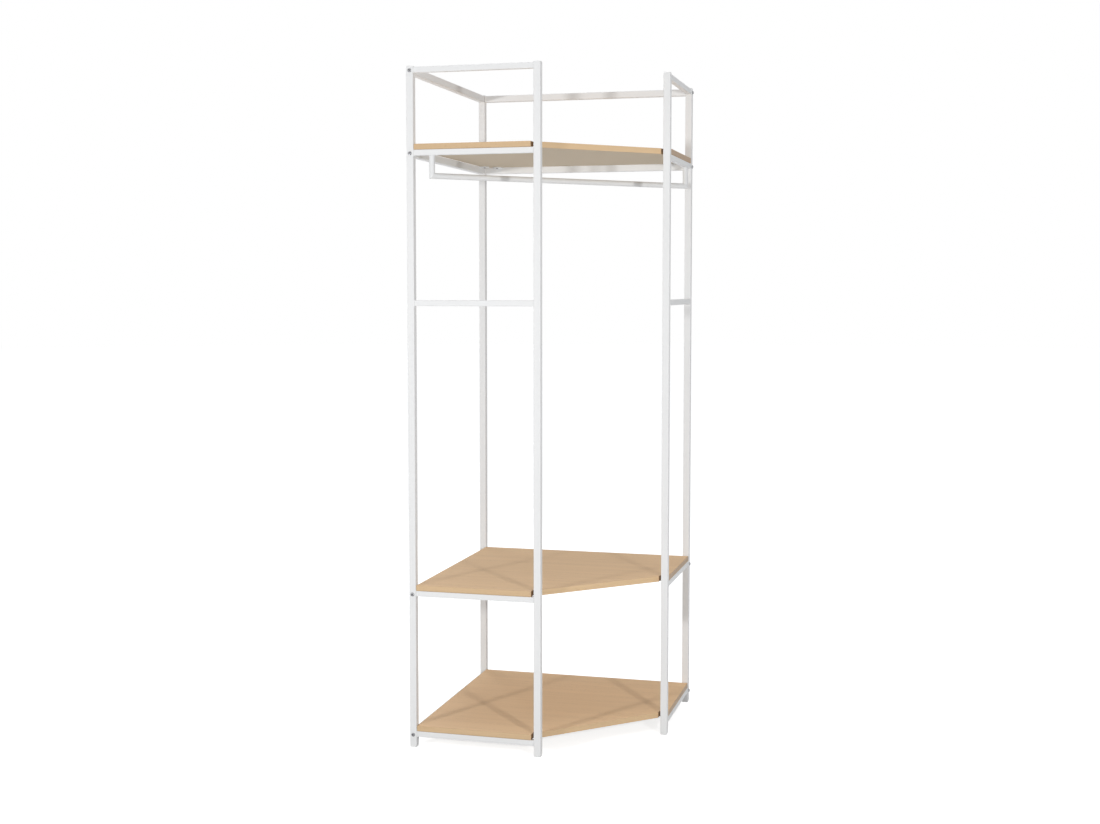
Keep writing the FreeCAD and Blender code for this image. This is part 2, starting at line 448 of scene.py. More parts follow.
@dataclass(frozen=True)
class OakBoard(OakLook):
    """An oak-look board: wood on top, a pale backing below and dark raw board in the notches."""

    backing: Colour = (0.565, 0.50, 0.395)
    raw: Colour = (0.28, 0.155, 0.075)
    level_facing: float = 0.5
    paper_scale: Scale = (90.0, 400.0, 400.0)
    paper_tone: float = 0.35
    paper_rise: float = 0.3
    paper_roughness: float = 0.55
    paper_dulling: float = 0.2
    chip: float = 2.2 * MM
    chip_shape: Scale = (0.7, 0.7, 2.4)
    chip_edges: Pair = (0.35, 0.75)
    chip_rise: float = 6.0

    def shade(self, recipe: Recipe) -> Wire:
        """The wood, the backing or the raw board, by the way the surface faces.

        Args:
            recipe: The tree to add to.

        Returns:
            The shader.
        """
        place = recipe.place()
        shown, height, roughness = self.figure(recipe, place)
        rise = recipe.add("ShaderNodeNewGeometry", output="True Normal").along("Z")
        above, below = rise > self.level_facing, rise < -self.level_facing
        beside = (1 - above) * (1 - below)
        paper = recipe.noise(place, self.paper_scale, detail=3.0)
        chip_scale = [part / self.chip for part in self.chip_shape]
        chips = recipe.noise(place, chip_scale, detail=3.0, roughness=0.65)
        lining = recipe.blend(self.paper_tone * paper, self.backing, self.late_wood)
        core = recipe.blend(chips.ramp(*self.chip_edges), self.raw, self.pore)
        relief = above * height + below * self.paper_rise * paper + beside * self.chip_rise * chips
        rough_paper = self.paper_roughness + self.paper_dulling * paper
        return recipe.shader({
            "Base Color": recipe.blend(above, recipe.blend(below, core, lining), shown),
            "Roughness": above * roughness + (1 - above) * rough_paper,
            "Specular IOR Level": self.gloss,
            "Normal": recipe.bump(relief, self.pore_depth),
        })


@dataclass(frozen=True)
class ZincPlate(Finish):
    """Zinc plate with fine turning marks and a little dulling."""

    dulled: Colour = (0.20, 0.20, 0.21)
    painted_shade_colour: Colour = (0.05, 0.05, 0.05)
    roughness: float = 0.30
    patch_scale: float = 420.0
    patch_edges: Pair = (0.35, 0.75)
    patch_dulling: float = 0.2
    patch_middle: float = 0.4
    mark_scale: float = 7000.0
    mark_depth: float = 0.006 * MM
    mark_dulling: float = 0.1
    painted_shade_dulling: float = 0.25

    def shade(self, recipe: Recipe) -> Wire:
        """Metal that is duller and rougher in patches, with painted shade that darkens the recess.

        Args:
            recipe: The tree to add to.

        Returns:
            The shader.
        """
        place = recipe.place()
        patch = recipe.noise(place, self.patch_scale, detail=3.0)
        marks = recipe.noise(place, self.mark_scale)
        # Painted shade: the marked recess is painted near black and made rougher
        painted_shade = recipe.add("ShaderNodeAttribute", {"attribute_name": PAINTED_SHADE}, output="Fac")
        metal = recipe.blend(patch.ramp(*self.patch_edges), self.colour, self.dulled)
        dulling = patch.swing(self.patch_dulling, self.patch_middle) + marks.swing(self.mark_dulling)
        return recipe.shader({
            "Base Color": recipe.blend(painted_shade, metal, self.painted_shade_colour),
            "Roughness": self.roughness + dulling + self.painted_shade_dulling * painted_shade,
            "Metallic": 1.0,
            "Normal": recipe.bump(marks, self.mark_depth),
        })


class Palette:
    """The materials of the rack, one for each slot."""

    def __init__(self, finishes: Iterable[Finish]) -> None:
        """Make the material of each finish."""
        self.materials = {finish.slot: finish.material() for finish in finishes}

    def dress(self, node: str, slot: Slot) -> None:
        """Give a CAD node that stays in view the material of its slot.

        Args:
            node: The CAD node.
            slot: Its slot.
        """
        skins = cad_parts[node].data.materials
        skins.clear()
        skins.append(self.materials[slot])
        LOG.info("dressed %s in %s", node, slot.value)


def quarter_turn(steps: int) -> list[float]:
    """The angles of even steps through a quarter of a turn, both ends among them."""
    return [QUARTER * i / steps for i in range(steps + 1)]


def square_cut(_across: float, _up: float) -> float:
    """No cutting back anywhere: a square end."""
    return 0.0


@dataclass(frozen=True)
class Placing:
    """A place, and three directions to build along from there."""

    origin: Vector
    across: Vector
    upward: Vector
    along: Vector

    @classmethod
    def facing(cls, origin: Vector, along: Vector) -> "Placing":
        """A place whose length runs along a level direction."""
        return cls(origin, UP.cross(along), UP, along)

    @classmethod
    def level(cls, origin: Vector) -> "Placing":
        """A place whose length runs upwards."""
        return cls(origin, X_AXIS, Y_AXIS, UP)

    def point(self, u: float, v: float, w: float) -> Vector:
        """The point that is u across, v up and w along."""
        return self.origin + self.across * u + self.upward * v + self.along * w


@dataclass(frozen=True)
class Outline:
    """A closed outline: its points, and the way out at each of them."""

    points: tuple[Pair, ...]
    ways: tuple[Pair, ...]

    @classmethod
    def square(cls, side: float, radius: float, steps: int = 6, flats: int = 1) -> "Outline":
        """A square with round corners.

        Args:
            side: The side of the square.
            radius: The radius of its corners.
            steps: The number of steps round each corner.
            flats: The number of steps along each flat.

        Returns:
            The outline.
        """
        points, ways = [], []
        reach = side / 2 - radius
        runs = [2 * reach * i / flats - reach for i in range(1, flats)]
        for corner in range(4):
            turn = Matrix.Rotation(corner * QUARTER, 2)
            local = [((reach + radius, run), (1.0, 0.0)) for run in runs]
            for angle in quarter_turn(steps):
                way = (math.cos(angle), math.sin(angle))
                local.append(((reach + radius * way[0], reach + radius * way[1]), way))
            points += [tuple(turn @ Vector(p)) for p, _ in local]
            ways += [tuple(turn @ Vector(w)) for _, w in local]
        return cls(tuple(points), tuple(ways))

    @classmethod
    def polar(cls, reach: Callable[[float], float]) -> "Outline":
        """An outline round a middle.

        Args:
            reach: The distance from the middle at each angle.

        Returns:
            The outline.
        """
        angles = [TURN * i / ROUND_STEPS for i in range(ROUND_STEPS)]
        ways = tuple((math.cos(a), math.sin(a)) for a in angles)
        return cls(tuple((reach(a) * way[0], reach(a) * way[1]) for a, way in zip(angles, ways)), ways)

    @classmethod
    def circle(cls, radius: float) -> "Outline":
        """A circle."""
        return cls.polar(lambda angle: radius)

    @classmethod
    def hexagon(cls, width: float) -> "Outline":
        """A hexagon, by its width across the flats."""
        sixth = TURN / 6
        return cls.polar(lambda angle: width / 2 / math.cos((angle % sixth) - sixth / 2))

    @classmethod
    def cross(cls, length: float, width: float) -> "Outline":
        """An upright cross of two bars.

        Args:
            length: The length of each bar.
            width: The width of each bar.

        Returns:
            The outline.
        """
        def reach(angle: float) -> float:
            """The distance to the edge of whichever bar reaches further."""
            a, b = (max(abs(part), TINY) for part in (math.cos(angle), math.sin(angle)))
            return max(min(length / 2 / a, width / 2 / b), min(length / 2 / b, width / 2 / a))

        return cls.polar(reach)

    def grown(self, by: float | Sequence[float]) -> list[Pair]:
        """The points moved outwards, all by one distance or each by its own."""
        each = by if isinstance(by, Sequence) else [by] * len(self.points)
        return [(p[0] + w[0] * d, p[1] + w[1] * d) for p, w, d in zip(self.points, self.ways, each)]


class Solid:
    """A closed mesh made of lofts of rings."""

    def __init__(self) -> None:
        """Start with an empty mesh."""
        self.work = bmesh.new()
        # A layer of painted shade: one where a recess is painted dark, zero elsewhere
        self.painted_shade = self.work.verts.layers.float.new(PAINTED_SHADE)

    def loft(self, rings: Iterable[Iterable[Vector]], ends: Ends = Ends.LIDS) -> list[Row]:
        """Join rings of as many points each into a closed skin.

        Args:
            rings: The rings, in order.
            ends: How the first and the last ring are closed.

        Returns:
            The vertices of each ring.
        """
        rows = [[self.work.verts.new(point) for point in ring] for ring in rings]
        pairs = list(zip(rows, rows[1:]))
        if ends is Ends.LOOP:
            pairs.append((rows[-1], rows[0]))
        else:
            self.work.faces.new(rows[0])
            self.work.faces.new(rows[-1])
        for first, second in pairs:
            for i in range(len(first)):
                j = (i + 1) % len(first)
                self.work.faces.new((first[i], first[j], second[j], second[i]))
        return rows

    def stack(self, placing: Placing, layers: Iterable[tuple[list[Pair], float]]) -> list[Row]:
        """Loft flat layers, each an outline's points at a distance along the placing."""
        return self.loft([placing.point(u, v, w) for u, v in pairs] for pairs, w in layers)

    def paint_shade(self, rows: Iterable[Row]) -> None:
        """Mark vertices that get painted shade, as in a dark recess.

        Args:
            rows: The rings of vertices.
        """
        for row in rows:
            for vertex in row:
                vertex[self.painted_shade] = 1.0

    def tube(self, placing: Placing, outline: Outline, wall: float, length: float,
             arris: float, cuts: tuple[Cut, Cut] = (square_cut, square_cut)) -> None:
        """A tube with eased ends, square or cut on the slant.

        Args:
            placing: The middle of its start, and the way that it runs.
            outline: Its outside.
            wall: The thickness of its wall.
            length: Its length on the centre line.
            arris: The width of the easing at its ends.
            cuts: How far the start and the end are cut back at each point.
        """
        start, end = cuts
        rings = []
        for growth, step, near in ((-wall, 0.0, True), (-arris, 0.0, True), (0.0, arris, True),
                                   (0.0, arris, False), (-arris, 0.0, False), (-wall, 0.0, False)):
            rings.append([placing.point(u, v, start(u, v) + step if near else length - end(u, v) - step)
                          for u, v in outline.grown(growth)])
        self.loft(rings, Ends.LOOP)

    def bead(self, placing: Placing, outline: Outline, legs: list[float], sink: float = 0.6 * MM,
             fullness: float = 0.6, overlap: float = 0.4 * MM) -> None:
        """A fillet round an outline, where it meets a face.

        Args:
            placing: The middle of the outline on the face, with the length away from the face.
            outline: The outline that the fillet goes round.
            legs: The reach of the fillet at each point of the outline.
            sink: How far the fillet goes into the face.
            fullness: Where its middle stands, 0.5 being flat and less hollow.
            overlap: How far it goes into the piece that it goes round.
        """
        half, shoulder = fullness / 2, 0.5 + BEAD_SHOULDER * fullness
        section = ((0.0, 1.0), (half, shoulder), (fullness, fullness), (shoulder, half), (1.0, 0.0))
        inner, below = [-overlap] * len(legs), [-sink] * len(legs)
        rows = [(inner, legs)]
        rows += [([out * leg for leg in legs], [rise * leg for leg in legs]) for out, rise in section]
        rows += [(legs, below), (inner, below)]
        self.loft(([placing.point(u, v, rise) for (u, v), rise in zip(outline.grown(growth), rises)]
                   for growth, rises in rows), Ends.LOOP)

    def piece(self, name: str, palette: Palette, slot: Slot, nodes: Sequence[str] = (),
              crease: float = 40.0) -> None:
        """Turn the mesh into a piece of the rack.

        Args:
            name: The name of the piece.
            palette: The materials.
            slot: The slot that it takes its finish from.
            nodes: The CAD nodes that it stands for.
            crease: The angle in degrees above which an edge stays sharp.
        """
        bmesh.ops.recalc_face_normals(self.work, faces=self.work.faces)
        mesh = bpy.data.meshes.new(name)
        self.work.to_mesh(mesh)
        self.work.free()
        mesh.shade_smooth()
        mesh.set_sharp_from_angle(angle=math.radians(crease))
        mesh.materials.append(palette.materials[slot])
        made = bpy.data.objects.new(name, mesh)
        bpy.context.scene.collection.objects.link(made)
        even = made.modifiers.new("even_faces", "WEIGHTED_NORMAL")
        even.keep_sharp = True
        even.weight = 100
        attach(made, BODY)
        if nodes:
            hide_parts(*nodes)
        LOG.info("made %s with %d faces", name, len(mesh.polygons))


@dataclass(frozen=True)
class Span:
    """A straight square tube, placed by the box of the CAD node that it stands for."""

    node: str
    placing: Placing
    length: float
    side: float

    @classmethod
    def of(cls, node: str) -> "Span":
        """The span of a CAD node along the longest side of its box.

        Args:
            node: The CAD node.

        Returns:
            The span.
        """
        low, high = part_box(node)
        size = high - low
        axis = max(range(3), key=lambda i: size[i])
        start = (low + high) / 2
        start[axis] = low[axis]
        placing = Placing.level(start) if axis == 2 else Placing.facing(start, (X_AXIS, Y_AXIS)[axis])
        return cls(node, placing, size[axis], min(size))

    def at(self, w: float) -> Vector:
        """The point on the centre line at a distance from the start."""
        return self.placing.point(0.0, 0.0, w)

    def tube(self, palette: Palette, corner: float, wall: float, arris: float = 0.25 * MM) -> None:
        """Make the tube, with round corners and eased ends.

        Args:
            palette: The materials.
            corner: The radius of its corners.
            wall: The thickness of its wall.
            arris: The width of the easing at its ends.
        """
        made = Solid()
        made.tube(self.placing, Outline.square(self.side, corner), wall, self.length, arris)
        made.piece(f"{self.node}_tube", palette, Slot.COAT, [self.node])


@dataclass
class Post:
    """A post of square tube, with a plastic foot below and a plastic cap on top."""

    name: str
    palette: Palette
    corner: float = 1.8 * MM
    wall: float = 1.2 * MM
    trim_side: float = 18.8 * MM
    trim_corner: float = 1.6 * MM
    trim_bevel: float = 0.12 * MM
    least_corner: float = 0.4 * MM
    tail_side: float = 17.4 * MM
    cap_tail: float = 6.0 * MM
    cap_taper: Pair = (1.6 * MM, 1.0 * MM)
    cap_round: float = 1.0 * MM
    crown: float = 0.35 * MM
    crown_rings: tuple[Pair, ...] = ((8.4 * MM, 0.0), (5.0 * MM, 0.3))
    foot_tail: float = 12.0 * MM
    foot_taper: Pair = (2.0 * MM, 2.0 * MM)
    foot_round: float = 2.6 * MM
    steps: int = 6

    def trim(self, node: str, floor_z: float, layers: list[Pair], tail: list[Pair]) -> None:
        """A moulded cap or foot.

        Args:
            node: The CAD node that it stands for.
            floor_z: The height that its layers are measured from.
            layers: Growth and height of each layer outside the post.
            tail: Side and height of each layer inside the post.
        """
        low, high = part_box(node)
        middle = (low + high) / 2
        placing = Placing.level(Vector((middle.x, middle.y, floor_z)))
        rows = [(self.trim_side + 2 * growth, max(self.trim_corner + growth, self.least_corner), z)
                for growth, z in layers]
        rows += [(side, self.trim_corner, z) for side, z in tail]
        made = Solid()
        made.stack(placing, [(Outline.square(side, corner).grown(0.0), z) for side, corner, z in rows])
        made.piece(f"{node}_moulding", self.palette, Slot.PLASTIC, [node])

    def tail(self, root: float, tip: float, taper: Pair) -> list[Pair]:
        """Layers of a tail.

        Args:
            root: The height where the tail starts.
            tip: The height where it ends.
            taper: How much its tip is narrowed, and over what length.

        Returns:
            Side and height of each layer.
        """
        narrowing, length = taper
        shoulder = tip + math.copysign(length, root - tip)
        return [(self.tail_side, root), (self.tail_side, shoulder), (self.tail_side - narrowing, tip)]

    def rounding(self, radius: float) -> list[Pair]:
        """Inset and rise of the steps round an edge, from its flat to its outer face."""
        turns = reversed(quarter_turn(self.steps))
        return [(radius * (1 - math.cos(a)), radius * math.sin(a)) for a in turns]

    def cap(self) -> None:
        """The cap: a low crowned lid with a round rim, and a tapered tail in the tube."""
        node = f"cap_{self.name}"
        low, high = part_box(node)
        height = high.z - low.z - self.cap_tail
        rim = height - self.cap_round - self.crown
        layers = [(-inset, height - fall * self.crown) for inset, fall in self.crown_rings]
        layers += [(-inset, rim + rise) for inset, rise in self.rounding(self.cap_round)]
        layers += [(0.0, self.trim_bevel), (-self.trim_bevel, 0.0)]
        self.trim(node, low.z + self.cap_tail, layers, self.tail(0.0, -self.cap_tail, self.cap_taper))

    def foot(self) -> None:
        """The foot: a pad with a round sole, and a tapered tail in the tube."""
        node = f"foot_{self.name}"
        low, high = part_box(node)
        height = high.z - low.z - self.foot_tail
        layers = [(-inset, self.foot_round - rise) for inset, rise in self.rounding(self.foot_round)]
        layers += [(0.0, height - self.trim_bevel), (-self.trim_bevel, height)]
        self.trim(node, low.z, layers, self.tail(height, height + self.foot_tail, self.foot_taper))

    def build(self) -> None:
        """Make the post."""
        Span.of(f"post_{self.name}").tube(self.palette, self.corner, self.wall)
        self.cap()
        self.foot()


@dataclass
class EndFrame:
    """The five rails of a welded end frame, with a weld round each end."""

    name: str
    palette: Palette
    levels: tuple[str, ...] = ("base", "lower", "middle", "upper", "top")
    corner: float = 1.6 * MM
    wall: float = 1.2 * MM
    weld_leg: float = 1.5 * MM
    weld_corner_steps: int = 4
    weld_flat_steps: int = 26
    weld_crease: float = 60.0
    ripple: float = 0.16
    ripple_pitch: float = 1.9 * MM
    swell: float = 0.4
    swell_pitch: float = 9.0 * MM
    swell_phase: float = 2.1

    def weld(self, made: Solid, placing: Placing, outline: Outline, seed: int) -> None:
        """A run of weld round the end of a rail, with its ripples.

        Args:
            made: The mesh to add to.
            placing: The middle of the joint, with the length along the rail.
            outline: The outside of the rail.
            seed: A number that sets where the ripples start.
        """
        legs, run = [], 0.0
        points = [Vector(p) for p in outline.points]
        for i, point in enumerate(points):
            run += (point - points[i - 1]).length
            wave = math.sin(TURN * run / self.ripple_pitch + seed)
            wave += self.swell * math.sin(TURN * run / self.swell_pitch + self.swell_phase * seed)
            legs.append(self.weld_leg * (1 + self.ripple * wave))
        made.bead(placing, outline, legs)

    def build(self) -> None:
        """Make the rails and their welds."""
        welds = Solid()
        for number, level in enumerate(self.levels):
            span = Span.of(f"{self.name}_end_rail_{level}")
            span.tube(self.palette, self.corner, self.wall)
            walk = Outline.square(span.side, self.corner, self.weld_corner_steps, self.weld_flat_steps)
            ahead = span.placing.along
            self.weld(welds, Placing.facing(span.at(0.0), ahead), walk, 2 * number)
            self.weld(welds, Placing.facing(span.at(span.length), -ahead), walk, 2 * number + 1)
        welds.piece(f"{self.name}_end_frame_welds", self.palette, Slot.COAT, crease=self.weld_crease)


@dataclass
class SocketHead:
    """A turned fastener with a domed head, a recess in it and a threaded shank."""

    radius: float
    height: float
    recess: Outline
    recess_depth: float
    shank_radius: float
    rim: float = 0.6 * MM
    land: float = 0.5
    pitch: float = 1.0 * MM
    thread_depth: float = 0.45 * MM
    runout: float = 0.4 * MM
    bevel: float = 0.15 * MM
    recess_bevel: float = 0.12 * MM
    cone_share: float = 0.25
    cone_depth: float = 0.35 * MM
    crease: float = 32.0
    steps: int = 7

    def add(self, made: Solid, placing: Placing, plain: float, threaded: float) -> None:
        """Add one to a mesh.

        Args:
            made: The mesh.
            placing: The middle of the seat, with the length out of the seat.
            plain: The length of plain shank below the seat.
            threaded: The length of thread below that.
        """
        tip = -plain - threaded
        shank = self.shank_radius
        rings = [(shank - 2 * self.thread_depth, tip)]
        for i in range(round(threaded / self.pitch)):
            rings.append((shank, tip + (i + 0.5) * self.pitch))
            rings.append((shank - self.thread_depth, tip + (i + 1.0) * self.pitch))
        rings += [(shank, self.runout - plain), (shank, 0.0)]
        rings += [(self.radius - self.bevel, 0.0), (self.radius, self.bevel)]
        flat = self.radius * self.land
        for angle in quarter_turn(self.steps):
            rise = self.rim + (self.height - self.rim) * math.sin(angle)
            rings.append((flat + (self.radius - flat) * math.cos(angle), rise))
        rows = [(Outline.circle(radius).grown(0.0), rise) for radius, rise in rings]
        floor = self.height - self.recess_depth
        tip_of_cone = [(self.cone_share * u, self.cone_share * v) for u, v in self.recess.points]
        rows += [
            (self.recess.grown(self.recess_bevel), self.height),
            (self.recess.grown(0.0), self.height - self.bevel),
            (self.recess.grown(0.0), floor),
            (tip_of_cone, floor - self.cone_depth),
        ]
        # The recess wall, floor and cone get painted shade
        made.paint_shade(made.stack(placing, rows)[-3:])


@dataclass
class WallSide:
    """The four rails along a wall, bolted to the outer post and pushed onto the corner post."""

    name: str
    inward: Vector
    palette: Palette
    levels: tuple[str, ...] = ("base", "lower", "upper", "top")
    corner: float = 1.8 * MM
    wall: float = 1.2 * MM
    arris: float = 0.35 * MM
    post_side: float = 20.0 * MM
    bite: float = 14.0 * MM
    bolt: SocketHead = field(default_factory=lambda: SocketHead(
        radius=5.25 * MM, height=3.3 * MM, recess=Outline.hexagon(4.0 * MM), recess_depth=1.8 * MM,
        shank_radius=3.0 * MM))

    def build(self) -> None:
        """Make the rails, and the bolts at their outer ends."""
        bolts = Solid()
        for level in self.levels:
            span = Span.of(f"{self.name}_wall_rail_{level}")
            span.tube(self.palette, self.corner, self.wall, self.arris)
            outer = span.at(0.0 if span.placing.along.dot(self.inward) > 0 else span.length)
            seat = outer - self.inward * self.post_side
            self.bolt.add(bolts, Placing.facing(seat, -self.inward), self.post_side, self.bite)
        node = f"{self.name}_wall_bolts"
        bolts.piece(f"{node}_turned", self.palette, Slot.ZINC, [node], self.bolt.crease)
        self.palette.dress(f"{self.name}_wall_plugs", Slot.PLUG)
        self.palette.dress(f"{self.name}_wall_spigots", Slot.COAT)


@dataclass
class Shelf:
    """A notched board with edging, on tabs that are welded to the wall rails."""

    name: str
    palette: Palette
    half_span: float = 330.0 * MM
    end_span: float = 362.0 * MM
    thickness: float = 16.0 * MM
    edge: float = 1.0 * MM
    wall_gap: float = 10.8 * MM
    end_reach: float = 8.0 * MM
    notch: float = 18.0 * MM
    setback: float = 15.0 * MM
    arris: float = 0.22 * MM
    edge_round: float = 0.8 * MM
    edge_steps: int = 5
    rail_joint: float = 1.0 * MM
    rail_sides: tuple[int, ...] = (0, 6)
    edged_sides: tuple[int, ...] = (0, 3, 6, 7, 8)
    tab_width: float = 28.0 * MM
    tab_reach: float = 28.0 * MM
    tab_thickness: float = 3.0 * MM
    tab_inset: float = 45.0 * MM
    tab_bevel: float = 0.4 * MM
    tab_overlap: float = 0.3 * MM
    tab_steps: int = 24
    weld_length: float = 24.0 * MM
    weld_leg: float = 2.0 * MM
    weld_slope: float = 8.0
    weld_start: float = 0.12
    weld_ripple: float = 0.14
    weld_ripples: int = 11
    weld_fullness: float = 0.62
    weld_overlap: float = 0.5 * MM
    weld_steps: int = 44
    weld_crease: float = 70.0
    post_half: float = 10.0 * MM
    screw_length: float = 14.0 * MM
    screw: SocketHead = field(default_factory=lambda: SocketHead(
        radius=3.7 * MM, height=2.3 * MM, recess=Outline.cross(4.0 * MM, 1.0 * MM), recess_depth=1.3 * MM,
        shank_radius=1.9 * MM, rim=0.4 * MM, land=0.62, pitch=1.4 * MM, thread_depth=0.4 * MM))

    @property
    def level(self) -> float:
        """The height of the board's underside."""
        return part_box(f"shelf_board_{self.name}")[0].z

    def corners(self, inset: float, ease: float = 0.0) -> list[Pair]:
        """The corners of the board in plan.

        Args:
            inset: How far the edged sides are moved in.
            ease: How far the sides of the notches are moved in.

        Returns:
            The nine corners, in order from the outer left post.
        """
        near, far = -self.half_span, self.half_span
        left, back = near + self.wall_gap + inset, far - self.wall_gap - inset
        front, right = near - self.end_reach + inset, far + self.end_reach - inset
        first, second = near + self.end_span, far - self.end_span
        notch = self.notch + ease
        slope = (self.setback + inset) * math.sqrt(2)
        return [
            (left, front),
            (first - notch, front),
            (first - notch, near + notch),
            (first + notch - slope, near + notch),
            (far - notch, second - notch + slope),
            (far - notch, second + notch),
            (right, second + notch),
            (right, back),
            (left, back),
        ]

    def board(self) -> None:
        """The board, with its arrises eased."""
        made = Solid()
        ease, top = self.arris, self.thickness
        eased, full = self.corners(self.edge + ease, ease), self.corners(self.edge)
        made.stack(Placing.level(Vector((0, 0, self.level))), [
            (eased, 0.0), (full, ease), (full, top - ease), (eased, top)])
        node = f"shelf_board_{self.name}"
        made.piece(f"{node}_core", self.palette, Slot.BOARD, [node])

    def edging(self) -> None:
        """The edging strips, round at their outer edges and mitred where they meet."""
        made = Solid()
        radius, top = self.edge_round, self.thickness
        turns = quarter_turn(self.edge_steps)
        base = Vector((0, 0, self.level))
        for side in self.edged_sides:
            low = self.rail_joint if side in self.rail_sides else 0.0
            section = [(self.edge, low)]
            section += [(radius * (1 - math.sin(a)), low + radius * (1 - math.cos(a))) for a in turns]
            section += [(radius * (1 - math.cos(a)), top - radius * (1 - math.sin(a))) for a in turns]
            section += [(self.edge, top)]
            plans = [(self.corners(inset), z) for inset, z in section]
            made.loft([base + Vector((*plan[corner % len(plan)], z)) for plan, z in plans]
                      for corner in (side, side + 1))
        node = f"shelf_edging_{self.name}"
        made.piece(f"{node}_strips", self.palette, Slot.EDGING, [node])

    def tab_outline(self, inset: float) -> list[Pair]:
        """The outline of a tab.

        Args:
            inset: How far it is moved in.

        Returns:
            Its points, across and out from the rail.
        """
        half = self.tab_width / 2 - inset
        middle = self.tab_reach - self.tab_width / 2
        bow = [math.pi * i / self.tab_steps for i in range(self.tab_steps + 1)]
        nose = [(half * math.cos(a), middle + half * math.sin(a)) for a in bow]
        return [(half, -self.tab_overlap), *nose, (-half, -self.tab_overlap)]

    def tab_weld(self, made: Solid, root: Vector, across: Vector, inward: Vector) -> None:
        """A short weld under a tab, along the rail.

        Args:
            made: The mesh to add to.
            root: The middle of the tab's underside at the rail.
            across: The way along the rail.
            inward: The way out from the rail.
        """
        rings = []
        sunk, full = self.weld_overlap, self.weld_fullness
        for i in range(self.weld_steps + 1):
            part = i / self.weld_steps
            swell = min(1.0, self.weld_slope * min(part, 1 - part) + self.weld_start)
            ripple = 1 + self.weld_ripple * math.sin(TURN * self.weld_ripples * part)
            leg = self.weld_leg * swell * ripple
            spine = root + across * ((part - 0.5) * self.weld_length)
            section = ((-sunk, sunk), (leg, sunk), (leg, 0.0), (full * leg, -full * leg),
                       (0.0, -leg), (-sunk, -leg))
            rings.append([spine + inward * out + UP * rise for out, rise in section])
        made.loft(rings)

    def tabs(self) -> None:
        """The tabs, each with a weld along its rail and a screw up into the board."""
        plates, welds, screws = Solid(), Solid(), Solid()
        face = self.half_span - self.post_half
        along = face - self.tab_inset
        low = self.level - self.tab_thickness
        bevel, top = self.tab_bevel, self.tab_thickness
        eased, full = self.tab_outline(bevel), self.tab_outline(0.0)
        roots = [(Vector((-face, y, low)), X_AXIS) for y in (-along, along)]
        roots += [(Vector((x, face, low)), -Y_AXIS) for x in (-along, along)]
        for root, inward in roots:
            placing = Placing(root, UP.cross(inward), inward, UP)
            plates.stack(placing, [(eased, 0.0), (full, bevel), (full, top - bevel), (eased, top)])
            self.tab_weld(welds, root, placing.across, inward)
            seat = root + inward * (self.tab_reach - self.tab_width / 2)
            self.screw.add(screws, Placing(seat, X_AXIS, -Y_AXIS, -UP), top, self.screw_length)
        node = f"shelf_tabs_{self.name}"
        plates.piece(f"{node}_plates", self.palette, Slot.COAT, [node])
        welds.piece(f"{node}_welds", self.palette, Slot.COAT, crease=self.weld_crease)
        screws.piece(f"{node}_screws", self.palette, Slot.ZINC, crease=self.screw.crease)

    def build(self) -> None:
        """Make the shelf."""
        self.board()
        self.edging()
        self.tabs()


@dataclass
class HangingBar:
    """The round hanging bar and the two drops that carry it, mitred together."""

    palette: Palette
    left: Vector = field(default_factory=lambda: Vector((-269, -330, 1600)) * MM)
    right: Vector = field(default_factory=lambda: Vector((330, 269, 1600)) * MM)
    radius: float = 8.0 * MM
    wall: float = 1.2 * MM
    seam: float = 0.18 * MM
    saddle: float = 3.2 * MM
    saddle_side: float = 0.3 * MM
    saddle_start: float = 0.25
    saddle_sink: float = 0.2 * MM
    saddle_fullness: float = 0.34
    saddle_crease: float = 70.0

    def bar(self) -> None:
        """The level tube, cut at 45 degrees at both ends."""
        run = self.right - self.left
        placing = Placing.facing(self.left, run.normalized())
        made = Solid()
        made.tube(placing, Outline.circle(self.radius), self.wall, run.length, self.seam,
                  (lambda u, v: v, lambda u, v: v))
        made.piece("hanging_bar_tube", self.palette, Slot.COAT, ["hanging_bar"])

    def drop(self, name: str, corner: Vector, other: Vector, rail: Vector) -> None:
        """An upright tube, mitred below, with a saddle on top where it meets its rail.

        Args:
            name: Which of the two drops it is.
            corner: The corner of the bar that it stands on.
            other: The other corner of the bar.
            rail: The way that its rail runs.
        """
        node = f"hanging_bar_drop_{name}"
        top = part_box(node)[1].z
        run = (other - corner).normalized()
        placing = Placing(corner, run, UP.cross(run), UP)
        ring = Outline.circle(self.radius)
        made = Solid()
        made.tube(placing, ring, self.wall, top - corner.z, self.seam, (lambda u, v: u, square_cut))
        made.piece(f"{node}_tube", self.palette, Slot.COAT, [node])
        head = Placing(Vector((corner.x, corner.y, top)), rail, -UP.cross(rail), -UP)
        rises = [max(0.0, way[0] ** 2 - self.saddle_start) / (1 - self.saddle_start) for way in ring.ways]
        legs = [self.saddle_side + self.saddle * rise for rise in rises]
        saddle = Solid()
        saddle.bead(head, ring, legs, self.saddle_sink, self.saddle_fullness)
        saddle.piece(f"{node}_saddle", self.palette, Slot.COAT, crease=self.saddle_crease)

    def build(self) -> None:
        """Make the bar and its drops."""
        self.bar()
        self.drop("left", self.left, self.right, X_AXIS)
        self.drop("right", self.right, self.left, Y_AXIS)
        self.palette.dress("hanging_bar_plugs", Slot.PLUG)
        self.palette.dress("hanging_bar_bolts", Slot.ZINC)


@dataclass(frozen=True)
class Softbox:
    """A square studio lamp that faces a point."""

    name: str
    place: Spot
    power: float
    side: float
    aim: Spot = (0.0, 0.0, 0.9)

    def build(self) -> None:
        """Make the lamp."""
        lamp = bpy.data.lights.new(self.name, "AREA")
        lamp.energy = self.power
        lamp.shape = "SQUARE"
        lamp.size = self.side
        made = bpy.data.objects.new(self.name, lamp)
        made.location = self.place
        made.rotation_euler = (Vector(self.aim) - Vector(self.place)).to_track_quat("-Z", "Y").to_euler()
        bpy.context.scene.collection.objects.link(made)
        LOG.info("lamp %s", self.name)


